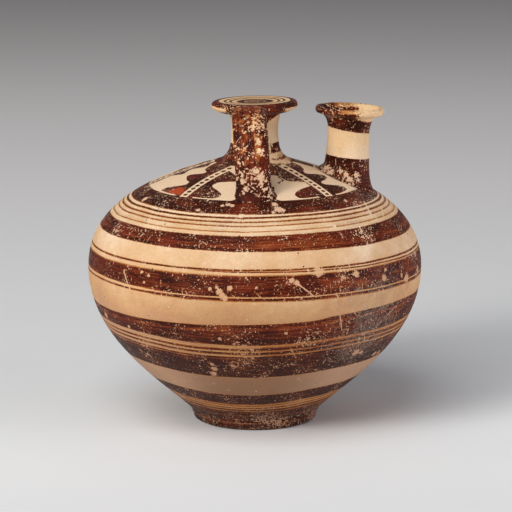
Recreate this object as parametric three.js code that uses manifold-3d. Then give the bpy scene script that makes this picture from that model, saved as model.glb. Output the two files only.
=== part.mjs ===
// Stirrup jar: a squat, globular oil jar with a false neck closed by a disc, a spout beside it
// and two strap handles that run from the disc down to the shoulder.
// It is modelled as the clay members that a potter makes and joins before firing.
// Units are millimetres and +Z is up. The origin is the centre of the foot's resting face,
// the spout stands towards +X, and the handles face -Y (front) and +Y (back).

import * as THREE from "three";
import { mergeVertices } from "three/addons/utils/BufferGeometryUtils.js";
import Module from "manifold-3d";

const wasm = await Module();
wasm.setup();

// Body, thrown in two halves that meet at the belly in a lap joint
const bellyRadius = 80;
const bellyHeight = 74.5;
const crownRadius = 18; // where the shoulder turns level, round the false neck
const crownHeight = 125.4;
const wall = 4.5;
const floorThickness = 7.5;
const lapHeight = 5;

// Foot
const footTopRadius = 32.5;
const footRestRadius = 29.8;
const footHeight = 6.5;
const footRingWidth = 10.2;
const footEdgeRound = 1.2;
const bossDrop = 2.5; // the floor bulges this far down inside the foot ring

// False neck and the disc that closes it
const neckRadius = 11.3;
const neckWaistRadius = 11;
const neckHeadRadius = 12.3;
const neckHeight = 22.5; // from the crown of the shoulder to the underside of the disc
const neckBore = 6;
const neckTenonRadius = 9;
const discRadius = 20.4;
const discThickness = 6.3;
const discEdgeThickness = 4.6;
const discDish = 0.5;
const discPlugDepth = 4;

// Spout
const spoutOffset = 43.6; // from the jar's axis to the spout's axis, on the shoulder
const spoutLean = THREE.MathUtils.degToRad(2.7);
const spoutLength = 34; // from the shoulder to the top of the lip
const spoutRootRadius = 10.8;
const spoutWaistRadius = 9.7;
const spoutLipRadius = 16.5;
const spoutLipThickness = 4.3;
const spoutBore = 6.3;
const spoutMouthRadius = 13;
const spoutTenonRadius = 8.4;
const spoutTenonLength = 7.5;

// Strap handles
const handleRootRadius = 45.6; // from the jar's axis to the strap's middle, on the shoulder
const handleWidth = 16.6;
const handleThickness = 7.4;
const handleHeadWidth = 22; // the strap's end spreads under the disc
const handleHeadThickness = 4;
const handleHeadDrop = 4.9; // from the disc's top to the strap's middle, at the rim
const frontHandleShift = -2.8; // the front strap is luted a little off centre on the disc

// Coils of clay pressed into the joints and smoothed out
const neckCoilReach = 6.2;
const neckCoilRise = 6.6;
const spoutCoilReach = 4;
const spoutCoilRise = 4.5;
const handleCoilReach = 2.4;
const handleCoilRise = 5;
const coilEdge = 0.5; // thickness of a coil where it feathers out

// Clearance of the joints, and the overrun of every cut
const fit = 0.3;
const overrun = 4;

// Shares that draw the outlines between the sizes above
const bellyPullShares = { footRun: 0.33, footRise: 0.22, belly: 0.47 };
const domePullShares = { belly: 0.59, crownRun: 0.5, crownFall: 0.165 };
const neckHeightShares = { waist: 0.5, shaft: 0.75 };
const spoutHeightShares = { shaft: 0.35, waist: 0.66, throat: 0.6 };
const bowShares = [
  { out: 0.42, down: -0.01 },
  { out: 0.8, down: 0.2 },
  { out: 0.985, down: 0.58 },
];
const headLengthShare = 0.27; // of the strap's length, over which its head narrows
const headTuckShare = 0.1; // of the head's thickness, by which its middle lies under the disc
const strapFullnessShare = 0.8; // 1 makes the strap's section a plain ellipse, less is squarer
const discRimShares = { from: -0.5, to: 0.5 }; // of a half circle, from level
const rolledLipShares = { from: -0.4, to: 0.7 };

// Facets and steps
const bodyFacets = 56;
const smallFacets = 32;
const outlineSteps = 9;
const neckSteps = 6;
const rimSteps = 4;
const spoutSteps = 9;
const funnelSteps = 4;
const coilSteps = 4;
const settleSteps = 12;
const handleStations = 18;
const handleFacets = 18;

// Places that follow from the sizes
const discUnderside = crownHeight + neckHeight;
const discTop = discUnderside + discThickness;
const footHoleRadius = footTopRadius - footRingWidth;
const innerBellyRadius = bellyRadius - wall;
const innerFloorRadius = footTopRadius - wall / 2;
const innerFloorHeight = footHeight - bossDrop + floorThickness;
const innerCrownHeight = crownHeight - wall;

const point = (r, z) => new THREE.Vector2(r, z);
const closed = (profile) => [...profile, profile[0]];

// A profile of (radius, height) points turned round the Z axis, as on the wheel.
// It runs up the outside, then back down the inside.
function turned(profile, facets) {
  return new THREE.LatheGeometry(profile, facets).rotateX(Math.PI / 2);
}

function solidOf(geometry) {
  const bare = geometry.clone();
  bare.deleteAttribute("normal");
  bare.deleteAttribute("uv");
  const merged = mergeVertices(bare);
  const corners = merged.index.array;
  const triangles = [];
  for (let i = 0; i < corners.length; i += 3) {
    const [a, b, c] = corners.slice(i, i + 3);
    if (a !== b && b !== c && c !== a) triangles.push(a, b, c);
  }
  return new wasm.Manifold(
    new wasm.Mesh({
      numProp: 3,
      vertProperties: merged.attributes.position.array,
      triVerts: new Uint32Array(triangles),
    }),
  );
}

function geometryOf(solid) {
  const mesh = solid.getMesh();
  const geometry = new THREE.BufferGeometry();
  geometry.setAttribute("position", new THREE.BufferAttribute(mesh.vertProperties, 3));
  geometry.setIndex(new THREE.BufferAttribute(mesh.triVerts, 1));
  geometry.computeVertexNormals();
  return geometry;
}

// Skin over a row of rings with equally many points, capped at both ends
function skin(rings) {
  const count = rings[0].length;
  const end = (rings.length - 1) * count;
  const faces = [];
  for (let here = 0; here < end; here += count) {
    for (let j = 0; j < count; j++) {
      const k = (j + 1) % count;
      faces.push(here + j, here + k, here + count + k);
      faces.push(here + j, here + count + k, here + count + j);
    }
  }
  for (let j = 1; j < count - 1; j++) {
    faces.push(0, j + 1, j);
    faces.push(end, end + j, end + j + 1);
  }
  const geometry = new THREE.BufferGeometry();
  const places = rings.flat().flatMap((p) => [p.x, p.y, p.z]);
  geometry.setAttribute("position", new THREE.Float32BufferAttribute(places, 3));
  geometry.setIndex(faces);
  return geometry;
}

// Outline of the body from the foot to the belly, and from the belly to the crown.
// The inner face of the wall is the same curve drawn between the inner foot, belly and crown.
function lowerOutline(foot, belly) {
  const run = belly.x - foot.x;
  const rise = belly.y - foot.y;
  return new THREE.CubicBezierCurve(
    foot,
    point(foot.x + bellyPullShares.footRun * run, foot.y + bellyPullShares.footRise * rise),
    point(belly.x, belly.y - bellyPullShares.belly * rise),
    belly,
  );
}

function upperOutline(belly, crown) {
  const run = belly.x - crown.x;
  const rise = crown.y - belly.y;
  return new THREE.CubicBezierCurve(
    belly,
    point(belly.x, belly.y + domePullShares.belly * rise),
    point(crown.x + domePullShares.crownRun * run, crown.y - domePullShares.crownFall * rise),
    crown,
  );
}

const outerBelly = point(bellyRadius, bellyHeight);
const innerBelly = point(innerBellyRadius, bellyHeight);
const outerLower = lowerOutline(point(footTopRadius, footHeight), outerBelly);
const innerLower = lowerOutline(point(innerFloorRadius, innerFloorHeight), innerBelly);
const outerUpper = upperOutline(outerBelly, point(crownRadius, crownHeight));
const innerUpper = upperOutline(innerBelly, point(crownRadius, innerCrownHeight));

// Height of the shoulder's outer face at a distance from the jar's axis
function shoulderHeight(radius) {
  if (radius <= crownRadius) return crownHeight;
  let low = 0;
  let high = 1;
  while (high - low > Number.EPSILON) {
    const middle = (low + high) / 2;
    if (middle === low || middle === high) break;
    if (outerUpper.getPoint(middle).x > radius) low = middle;
    else high = middle;
  }
  return outerUpper.getPoint(high).y;
}

// Everything under the shoulder's outer face, raised by a clearance. It seats what stands there.
function underShoulder(clearance) {
  const top = crownHeight + clearance;
  const bottom = bellyHeight - overrun;
  const steps = outlineSteps * 2;
  const profile = [point(0, bottom), point(bellyRadius + clearance, bottom)];
  for (let i = 0; i <= steps; i++) {
    const place = outerUpper.getPoint(i / steps);
    const tangent = outerUpper.getTangent(i / steps);
    const raised = point(place.x + tangent.y * clearance, place.y - tangent.x * clearance);
    if (raised.y < top) profile.push(raised);
  }
  profile.push(point(crownRadius, top), point(0, top));
  return solidOf(turned(profile, bodyFacets));
}

// Foot: a low turned ring, luted round the boss under the floor
function footRing() {
  return turned(
    closed([
      point(footHoleRadius + footEdgeRound, 0),
      point(footRestRadius - footEdgeRound, 0),
      point(footRestRadius, footEdgeRound),
      point(footTopRadius, footHeight - footEdgeRound),
      point(footTopRadius, footHeight),
      point(footHoleRadius, footHeight),
      point(footHoleRadius, footEdgeRound),
    ]),
    bodyFacets,
  );
}

// Lower half of the body: the boss, the floor and the wall up to the tongue of the lap joint
function lowerBody() {
  const bossRadius = footHoleRadius - fit;
  const tongueRadius = bellyRadius - (wall + fit) / 2;
  const tongueTop = bellyHeight + lapHeight;
  return turned(
    [
      point(0, footHeight - bossDrop),
      point(bossRadius, footHeight - bossDrop),
      point(bossRadius, footHeight),
      ...outerLower.getPoints(outlineSteps),
      point(tongueRadius, bellyHeight),
      point(tongueRadius, tongueTop),
      point(innerBellyRadius, tongueTop),
      ...innerLower.getPoints(outlineSteps).reverse(),
      point(0, innerFloorHeight),
    ],
    bodyFacets,
  );
}

// The spout's own frame: its root lies on the shoulder, and it leans away from the neck
const spoutRoot = new THREE.Vector3(spoutOffset, 0, shoulderHeight(spoutOffset));
const spoutAxis = new THREE.Vector3(Math.sin(spoutLean), 0, Math.cos(spoutLean));

function placedAtSpout(geometry) {
  return geometry.rotateY(spoutLean).translate(spoutRoot.x, spoutRoot.y, spoutRoot.z);
}

function spoutRod(radius) {
  const reach = spoutLength + overrun;
  const profile = [point(0, -reach), point(radius, -reach), point(radius, reach), point(0, reach)];
  return solidOf(placedAtSpout(turned(profile, smallFacets)));
}

// Upper half of the body: the lap joint's rebate, the dome, and the holes of neck and spout
function shoulder() {
  const rebateRadius = bellyRadius - (wall - fit) / 2;
  const rebateTop = bellyHeight + lapHeight + fit;
  const holeRadius = neckTenonRadius + fit;
  const inside = innerUpper.getPoints(outlineSteps).filter((p) => p.y > rebateTop);
  const dome = turned(
    closed([
      point(rebateRadius, bellyHeight),
      ...outerUpper.getPoints(outlineSteps),
      point(holeRadius, crownHeight),
      point(holeRadius, innerCrownHeight),
      ...inside.toReversed(),
      point(inside[0].x, rebateTop),
      point(rebateRadius, rebateTop),
    ]),
    bodyFacets,
  );
  return geometryOf(solidOf(dome).subtract(spoutRod(spoutTenonRadius + fit)));
}

// Outer face of the false neck, moved out by a clearance
function neckFace(clearance) {
  return new THREE.SplineCurve([
    point(neckRadius + clearance, crownHeight),
    point(neckWaistRadius + clearance, crownHeight + neckHeightShares.waist * neckHeight),
    point(neckWaistRadius + clearance, crownHeight + neckHeightShares.shaft * neckHeight),
    point(neckHeadRadius + clearance, discUnderside),
  ]).getPoints(neckSteps);
}

// False neck: a stem that carries the disc, with a tenon that fills the shoulder's middle hole
function falseNeck() {
  return turned(
    closed([
      point(neckTenonRadius, innerCrownHeight),
      point(neckTenonRadius, crownHeight),
      ...neckFace(0),
      point(neckBore, discUnderside),
      point(neckBore, innerCrownHeight),
    ]),
    smallFacets,
  );
}

// Points of a rounded rim, over the given shares of a half circle
function roundedRim(centre, radius, { from, to }) {
  const rim = [];
  for (let i = 0; i <= rimSteps; i++) {
    const angle = Math.PI * THREE.MathUtils.lerp(from, to, i / rimSteps);
    rim.push(point(centre.x + radius * Math.cos(angle), centre.y + radius * Math.sin(angle)));
  }
  return rim;
}

function discRim(clearance) {
  const half = discEdgeThickness / 2;
  const centre = point(discRadius - half, discTop - half);
  return roundedRim(centre, half + clearance, discRimShares);
}

// Disc: it lies on the neck's head, and its plug stops the neck's bore
function topDisc() {
  const plugRadius = neckBore - fit;
  return turned(
    [
      point(0, discUnderside - discPlugDepth),
      point(plugRadius, discUnderside - discPlugDepth),
      point(plugRadius, discUnderside),
      point(neckHeadRadius, discUnderside),
      ...discRim(0),
      point(discRadius / 2, discTop - discDish),
      point(0, discTop - discDish),
    ],
    smallFacets,
  );
}

// Neck and disc grown by a clearance, and the space over the disc. They seat the straps' heads.
function neckAndDisc(clearance) {
  const above = discTop + overrun;
  const profile = [
    point(0, crownHeight - overrun),
    point(neckRadius + clearance, crownHeight - overrun),
    ...neckFace(clearance).slice(0, -1),
    point(neckHeadRadius + clearance, discUnderside - clearance),
    ...discRim(clearance),
    point(discRadius - discEdgeThickness / 2, above),
    point(0, above),
  ];
  return solidOf(turned(profile, smallFacets));
}

// Spout: a turned tube with a rolled lip and a funnel mouth, its tenon let into the shoulder
function spout() {
  const half = spoutLipThickness / 2;
  const lipCentre = point(spoutLipRadius - half, spoutLength - half);
  const lip = roundedRim(lipCentre, half, rolledLipShares);
  const outside = new THREE.SplineCurve([
    point(spoutRootRadius, 0),
    point((spoutRootRadius + spoutWaistRadius) / 2, spoutHeightShares.shaft * spoutLength),
    point(spoutWaistRadius, spoutHeightShares.waist * spoutLength),
    point((spoutWaistRadius + lipCentre.x) / 2, lipCentre.y - spoutLipThickness),
    lip[0],
  ]).getPoints(spoutSteps);
  const funnel = new THREE.QuadraticBezierCurve(
    point(spoutMouthRadius, lipCentre.y),
    point(spoutBore, lipCentre.y),
    point(spoutBore, spoutHeightShares.throat * spoutLength),
  ).getPoints(funnelSteps);
  const profile = closed([
    point(spoutRootRadius, -spoutTenonLength),
    ...outside,
    ...lip.slice(1),
    ...funnel,
    point(spoutBore, -spoutTenonLength),
  ]);
  const tube = solidOf(placedAtSpout(turned(profile, smallFacets)));
  return geometryOf(tube.subtract(underShoulder(fit).subtract(spoutRod(spoutTenonRadius))));
}

// A point of the strap's section, an oval with flattened faces: x across and y through the strap
function strapOval(angle, width, thickness) {
  const squared = (value) => Math.sign(value) * Math.abs(value) ** strapFullnessShare;
  return point((width / 2) * squared(Math.cos(angle)), (thickness / 2) * squared(Math.sin(angle)));
}

// Middle line of a strap: out from under the disc, over the rim and down to the shoulder
function strapLine() {
  const start = point(neckRadius, discUnderside - headTuckShare * handleHeadThickness);
  const rim = point(discRadius, discTop - handleHeadDrop);
  const root = point(handleRootRadius, shoulderHeight(handleRootRadius));
  const sunk = point(root.x, root.y - handleThickness);
  const bow = bowShares.map(({ out, down }) =>
    point(rim.x + out * (root.x - rim.x), rim.y + down * (root.y - rim.y)),
  );
  const places = [start, rim, ...bow, root, sunk].map((p) => new THREE.Vector3(0, p.x, p.y));
  return new THREE.CatmullRomCurve3(places, false, "centripetal");
}

// A strap grown by a clearance, on the side that the sign gives
function strap(side, shift, clearance) {
  const line = strapLine();
  const rings = [];
  for (let i = 0; i <= handleStations; i++) {
    const along = i / handleStations;
    const centre = line.getPointAt(along);
    const tangent = line.getTangentAt(along);
    const head = Math.max(0, 1 - along / headLengthShare) ** 2;
    const width = THREE.MathUtils.lerp(handleWidth, handleHeadWidth, head);
    const thickness = THREE.MathUtils.lerp(handleThickness, handleHeadThickness, head);
    const ring = [];
    for (let j = 0; j < handleFacets; j++) {
      const angle = -side * (j / handleFacets) * Math.PI * 2;
      const oval = strapOval(angle, width + 2 * clearance, thickness + 2 * clearance);
      const y = centre.y - tangent.z * oval.y;
      ring.push(
        new THREE.Vector3(shift * (1 - along) + oval.x, side * y, centre.z + tangent.y * oval.y),
      );
    }
    rings.push(ring);
  }
  return solidOf(skin(rings));
}

function handle(side, shift) {
  return geometryOf(
    strap(side, shift, 0).subtract(underShoulder(fit)).subtract(neckAndDisc(fit)),
  );
}

// Moves a point along an axis until it stands on the shoulder
function settled(place, axis) {
  const moved = place.clone();
  for (let i = 0; i < settleSteps; i++) {
    const lift = shoulderHeight(Math.hypot(moved.x, moved.y)) - moved.z;
    moved.addScaledVector(axis, lift / axis.z);
  }
  return moved;
}

// Hollow quarter round of a coil: how far out it reaches at each step, and how high
function coilFace(reach, rise) {
  const face = [];
  for (let i = 0; i <= coilSteps; i++) {
    const angle = (i / coilSteps) * (Math.PI / 2);
    const out = THREE.MathUtils.lerp(reach, coilEdge, Math.sin(angle));
    const up = THREE.MathUtils.lerp(rise, coilEdge, Math.cos(angle));
    face.push({ out, up });
  }
  return face;
}

// A coil smoothed into the corner between a member and the shoulder. The outline gives, for an
// angle round the member, a place on its side and the direction in which that side faces.
function lutingCoil(outline, axis, member, reach, rise) {
  const face = [{ out: reach, up: -overrun }, ...coilFace(reach, rise)];
  const rings = face.map(({ out, up }) => {
    const ring = [];
    for (let i = 0; i < smallFacets; i++) {
      const { place, facing } = outline((i / smallFacets) * Math.PI * 2);
      const foot = settled(place.clone().addScaledVector(facing, fit + out), axis);
      ring.push(foot.addScaledVector(axis, up));
    }
    return ring;
  });
  return geometryOf(solidOf(skin(rings)).subtract(underShoulder(fit)).subtract(member));
}

function neckCoil() {
  const inner = neckRadius + fit;
  return turned(
    closed([
      point(inner, crownHeight),
      point(inner + neckCoilReach, crownHeight),
      ...coilFace(neckCoilReach, neckCoilRise).map(({ out, up }) =>
        point(inner + out, crownHeight + up),
      ),
      point(inner, crownHeight + neckCoilRise),
    ]),
    smallFacets,
  );
}

function spoutCoil() {
  const outline = (angle) => {
    const facing = new THREE.Vector3(Math.cos(angle), Math.sin(angle), 0);
    facing.applyAxisAngle(new THREE.Vector3(0, 1, 0), spoutLean);
    return { place: spoutRoot.clone().addScaledVector(facing, spoutRootRadius), facing };
  };
  const member = spoutRod(spoutRootRadius + fit);
  return lutingCoil(outline, spoutAxis, member, spoutCoilReach, spoutCoilRise);
}

function handleCoil(side, shift) {
  const outline = (angle) => {
    const oval = strapOval(angle, handleWidth, handleThickness);
    const place = new THREE.Vector3(oval.x, oval.y + side * handleRootRadius, 0);
    const facing = new THREE.Vector3(
      Math.cos(angle) * handleThickness,
      Math.sin(angle) * handleWidth,
      0,
    );
    return { place, facing: facing.normalize() };
  };
  const up = new THREE.Vector3(0, 0, 1);
  return lutingCoil(outline, up, strap(side, shift, fit), handleCoilReach, handleCoilRise);
}

// Fired clay: buff where the ground shows, and dark brown where the slip covers it
const buff = { color: "#d9b88e", roughness: 0.65, metalness: 0 };
const brown = { color: "#4a2a20", roughness: 0.7, metalness: 0 };

function piece(name, geometry, finish) {
  const mesh = new THREE.Mesh(geometry, new THREE.MeshStandardMaterial(finish));
  mesh.name = name;
  return mesh;
}

const jar = new THREE.Group();
jar.add(
  piece("foot_ring", footRing(), brown),
  piece("lower_body", lowerBody(), buff),
  piece("shoulder", shoulder(), buff),
  piece("false_neck", falseNeck(), buff),
  piece("neck_coil", neckCoil(), brown),
  piece("top_disc", topDisc(), brown),
  piece("spout", spout(), buff),
  piece("spout_coil", spoutCoil(), brown),
  piece("handle_front", handle(-1, frontHandleShift), brown),
  piece("handle_front_coil", handleCoil(-1, frontHandleShift), brown),
  piece("handle_back", handle(1, 0), brown),
  piece("handle_back_coil", handleCoil(1, 0), brown),
);

export default jar;
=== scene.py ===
import math
from types import SimpleNamespace

import bpy
from mathutils import Matrix, Vector


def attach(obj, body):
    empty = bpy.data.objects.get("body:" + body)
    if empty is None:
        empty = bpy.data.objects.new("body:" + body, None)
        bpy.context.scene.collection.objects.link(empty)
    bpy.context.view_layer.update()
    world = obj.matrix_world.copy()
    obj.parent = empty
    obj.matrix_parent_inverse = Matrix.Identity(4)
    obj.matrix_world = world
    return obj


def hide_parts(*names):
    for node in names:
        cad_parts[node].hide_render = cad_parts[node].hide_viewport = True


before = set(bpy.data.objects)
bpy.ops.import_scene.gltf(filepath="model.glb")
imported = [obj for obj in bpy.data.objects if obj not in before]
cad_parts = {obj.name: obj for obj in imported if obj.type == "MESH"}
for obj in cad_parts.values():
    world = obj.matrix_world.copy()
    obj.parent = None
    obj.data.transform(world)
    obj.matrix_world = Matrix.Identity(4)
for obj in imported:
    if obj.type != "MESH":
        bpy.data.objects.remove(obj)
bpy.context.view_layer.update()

# A stirrup jar of fired buff clay, painted with an iron-rich slip in bands and leaves.
# Sizes are in millimetres and heights are above the foot's resting face; MM turns them to metres.
# The spout stands towards +X and the two strap handles face -Y (front) and +Y (back).
MM = 0.001

# Body
BELLY_RADIUS = 80
BELLY_HEIGHT = 74.5
CROWN_RADIUS = 18
CROWN_HEIGHT = 125.4
WALL = 4.5
FLOOR_HEIGHT = 11.5
FOOT_TOP = (32.5, 6.5)
FOOT_HOLE_RADIUS = 22.3
NECK_HOLE_RADIUS = 9

# False neck and disc
NECK_RADIUS = 11
NECK_BORE = 6
NECK_TENON_RADIUS = 8.9
NECK_TENON_END = 121
DISC_RADIUS = 20.4
DISC_UNDERSIDE = 147.9
DISC_TOP = 154.2
DISC_TILT = math.radians(-1.2)

# Spout
SPOUT_OFFSET = 43.6
SPOUT_LEAN = math.radians(2.7)
SPOUT_LENGTH = 34
SPOUT_BORE = 6.3
SPOUT_TENON_RADIUS = 8.4
SPOUT_TENON_LENGTH = 7.5

# Strap handles
STRAP_ROOT = 45.6
STRAP_WIDTH = 16.6
STRAP_THICKNESS = 7.4
STRAP_HEAD_WIDTH = 18.8
STRAP_HEAD_THICKNESS = 4
STRAP_HEAD_SHARE = 0.27
STRAP_FOOT_HEIGHT = 5.5
STRAP_FOOT_SPREAD = 2.2
STRAP_FOOT_SWELL = 4.2
STRAP_STATIONS = 64
FRONT_STRAP_SHIFT = -2.8

# Height over which the root of a spout or strap bends to the shoulder's slope
ROOT_FLARE = 9


def start_afresh():
    """Leaves edit mode and deselects everything, so that the next tool acts on new clay alone."""
    if bpy.context.object and bpy.context.object.mode != "OBJECT":
        bpy.ops.object.mode_set(mode="OBJECT")
    bpy.ops.object.select_all(action="DESELECT")


def take(piece):
    """Makes one piece the selected and active one."""
    start_afresh()
    piece.select_set(True)
    bpy.context.view_layer.objects.active = piece


def drawn_line(name, knots, fineness, upright=True, closed=False):
    """Draws a line through knots in millimetres. A knot is (place, pull before, pull after), and a
    pull of None is straight. Upright knots are (radius, height), else (outwards, height) in -Y."""
    start_afresh()
    bpy.ops.curve.primitive_bezier_curve_add(location=(0, 0, 0))
    line = bpy.context.object
    line.name = name
    line.data.resolution_u = fineness
    spline = line.data.splines[0]
    spline.bezier_points.add(len(knots) - 2)
    spline.use_cyclic_u = closed

    def metres(pair):
        """A pair of measures as a place in metres."""
        across = (pair[0], 0) if upright else (0, -pair[0])
        return Vector((across[0], across[1], pair[1])) * MM

    for number, (knot, (place, before, after)) in enumerate(zip(spline.bezier_points, knots)):
        earlier = knots[number - 1][0]
        later = knots[(number + 1) % len(knots)][0]
        knot.handle_left_type = knot.handle_right_type = "FREE"
        knot.co = metres(place)
        knot.handle_left = metres(before) if before else knot.co.lerp(metres(earlier), 1 / 3)
        knot.handle_right = metres(after) if after else knot.co.lerp(metres(later), 1 / 3)
    return line


def thrown(name, knots, fineness, turns, closed=False):
    """Turns an outline round the Z axis, as on the wheel."""
    weld = 0.01 * MM
    line = drawn_line(name, knots, fineness, closed=closed)
    bpy.ops.object.convert(target="MESH")
    bpy.ops.object.mode_set(mode="EDIT")
    bpy.ops.mesh.select_all(action="SELECT")
    bpy.ops.mesh.remove_doubles(threshold=weld)
    bpy.ops.mesh.select_all(action="SELECT")
    bpy.ops.mesh.spin(steps=turns, angle=2 * math.pi, center=(0, 0, 0), axis=(0, 0, 1))
    bpy.ops.mesh.select_all(action="SELECT")
    bpy.ops.mesh.remove_doubles(threshold=weld)
    bpy.ops.mesh.normals_make_consistent(inside=False)
    bpy.ops.object.mode_set(mode="OBJECT")
    bpy.ops.object.shade_smooth()
    return bpy.context.object


def dried(piece, amount, size, seed):
    """Lets the surface sink unevenly, by less than the amount, as hand-made clay does."""
    take(piece)
    unevenness = bpy.data.textures.new(piece.name + "_unevenness", "CLOUDS")
    unevenness.noise_scale = size * MM
    unevenness.noise_depth = 1
    sink = piece.modifiers.new("drying", "DISPLACE")
    sink.texture = unevenness
    sink.texture_coords = "GLOBAL"
    sink.strength = amount * MM
    sink.mid_level = 1
    piece.location = (seed, 0, 0)
    bpy.context.view_layer.update()
    bpy.ops.object.modifier_apply(modifier=sink.name)
    piece.location = (0, 0, 0)


def settle_place(piece, turn):
    """Turns a piece to its place and leaves its object at the origin."""
    take(piece)
    piece.data.transform(turn)
    piece.data.update()


def bezier_point(knots, share):
    """A point of a cubic curve through four (radius, height) knots."""
    keep = 1 - share
    parts = (keep**3, 3 * keep**2 * share, 3 * keep * share**2, share**3)
    return tuple(sum(part * knot[axis] for part, knot in zip(parts, knots)) for axis in (0, 1))


def lower_outline(foot, belly):
    """Knots of the body's side from the foot to the belly."""
    run, rise = belly[0] - foot[0], belly[1] - foot[1]
    above_foot = (foot[0] + 0.33 * run, foot[1] + 0.22 * rise)
    return (foot, above_foot, (belly[0], belly[1] - 0.47 * rise), belly)


def upper_outline(belly, crown):
    """Knots of the body's side from the belly to the crown."""
    run, rise = belly[0] - crown[0], crown[1] - belly[1]
    by_crown = (crown[0] + 0.5 * run, crown[1] - 0.165 * rise)
    return (belly, (belly[0], belly[1] + 0.59 * rise), by_crown, crown)


belly = (BELLY_RADIUS - 0.05, BELLY_HEIGHT)
inner_belly = (BELLY_RADIUS - WALL, BELLY_HEIGHT)
outer_lower = lower_outline(FOOT_TOP, belly)
outer_upper = upper_outline(belly, (CROWN_RADIUS, CROWN_HEIGHT))
inner_lower = lower_outline((FOOT_TOP[0] - WALL / 2, FLOOR_HEIGHT), inner_belly)
inner_upper = upper_outline(inner_belly, (CROWN_RADIUS, CROWN_HEIGHT - WALL))


def shoulder_height(radius):
    """Height of the shoulder's face at a distance from the jar's axis."""
    if radius <= CROWN_RADIUS:
        return CROWN_HEIGHT
    low, high = 0.0, 1.0
    for _ in range(30):
        middle = (low + high) / 2
        if bezier_point(outer_upper, middle)[0] > radius:
            low = middle
        else:
            high = middle
    return bezier_point(outer_upper, high)[1]


def on_body(azimuth, height):
    """The place on the body at degrees from the front, towards +X, and at a height."""
    knots = outer_upper if height > BELLY_HEIGHT else outer_lower
    rising = [bezier_point(knots, i / 400) for i in range(401)]
    radius = min(rising, key=lambda place: abs(place[1] - height))[0]
    turn = math.radians(azimuth)
    return (radius * math.sin(turn), -radius * math.cos(turn), height)


def seated(piece, root, axis):
    """Slides the lower end of a piece along its axis until it follows the shoulder's slope."""
    for vertex in piece.data.vertices:
        place = vertex.co / MM
        above = (place - root).dot(axis)
        share = min(1, max(0, 1 - above / ROOT_FLARE))
        share = share * share * (3 - 2 * share)
        lift = shoulder_height(math.hypot(place.x, place.y)) - root.z
        flat = place - axis * above
        level = (flat - root).z
        vertex.co += axis * (lift - level) * share * MM
    piece.data.update()


# Body: thrown in one wall, with a ring foot and a hole under the false neck. The outline runs from
# the boss under the foot, over the outside, to the inner floor.
body = thrown(
    "body",
    [
        ((0, 4.0), None, (8, 4.0)),
        ((21.0, 5.4), (15, 4.4), None),
        ((FOOT_HOLE_RADIUS, 4.6), None, None),
        ((FOOT_HOLE_RADIUS + 0.3, 0.9), None, (FOOT_HOLE_RADIUS + 0.35, 0.2)),
        ((FOOT_HOLE_RADIUS + 1.3, 0), (FOOT_HOLE_RADIUS + 0.7, 0), None),
        ((28.6, 0), None, (29.4, 0)),
        ((29.9, 1.2), (29.8, 0.5), (30.3, 3.4)),
        (FOOT_TOP, (31.6, 5.7), outer_lower[1]),
        (belly, outer_lower[2], outer_upper[1]),
        ((CROWN_RADIUS, CROWN_HEIGHT), outer_upper[2], None),
        ((NECK_HOLE_RADIUS, CROWN_HEIGHT), None, None),
        ((NECK_HOLE_RADIUS, CROWN_HEIGHT - WALL), None, None),
        ((CROWN_RADIUS, CROWN_HEIGHT - WALL), None, inner_upper[2]),
        (inner_belly, inner_upper[1], inner_lower[2]),
        (inner_lower[0], inner_lower[1], None),
        ((0, inner_lower[0][1]), None, None),
    ],
    22,
    240,
)
dried(body, 0.35, 34, 3.1)

spout_root = Vector((SPOUT_OFFSET, 0, shoulder_height(SPOUT_OFFSET)))
spout_turn = Matrix.Rotation(SPOUT_LEAN, 4, "Y")
spout_axis = spout_turn.to_3x3() @ Vector((0, 0, 1))
spout_place = Matrix.Translation(spout_root * MM) @ spout_turn


def bored(piece, tool):
    """Cuts a tool's shape out of a piece and throws the tool away."""
    take(piece)
    cut = piece.modifiers.new("bore", "BOOLEAN")
    cut.operation = "DIFFERENCE"
    cut.solver = "EXACT"
    cut.object = tool
    bpy.ops.object.modifier_apply(modifier=cut.name)
    bpy.data.objects.remove(tool)


start_afresh()
bpy.ops.mesh.primitive_cylinder_add(vertices=40, radius=8.7 * MM, depth=30 * MM)
borer = bpy.context.object
settle_place(borer, spout_place)
bored(body, borer)

# False neck: a stem that flares into the crown and spreads under the disc.
neck = thrown(
    "false_neck",
    [
        ((NECK_BORE, NECK_TENON_END), None, None),
        ((NECK_TENON_RADIUS, NECK_TENON_END), None, None),
        ((NECK_TENON_RADIUS, 124.6), None, None),
        ((19.6, 124.7), None, (18.6, 125.3)),
        ((17.2, 125.75), (18.0, 125.45), (14.6, 126.5)),
        ((11.7, 132.6), (12.2, 129.2), (11.3, 135.2)),
        ((NECK_RADIUS, 139.5), (NECK_RADIUS, 137), (NECK_RADIUS, 142.5)),
        ((12.1, 147.2), (11.5, 145.2), (12.3, 147.8)),
        ((15.5, 149.2), (13.6, 149.0), None),
        ((NECK_BORE, 149.2), None, None),
    ],
    10,
    96,
    closed=True,
)

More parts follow.
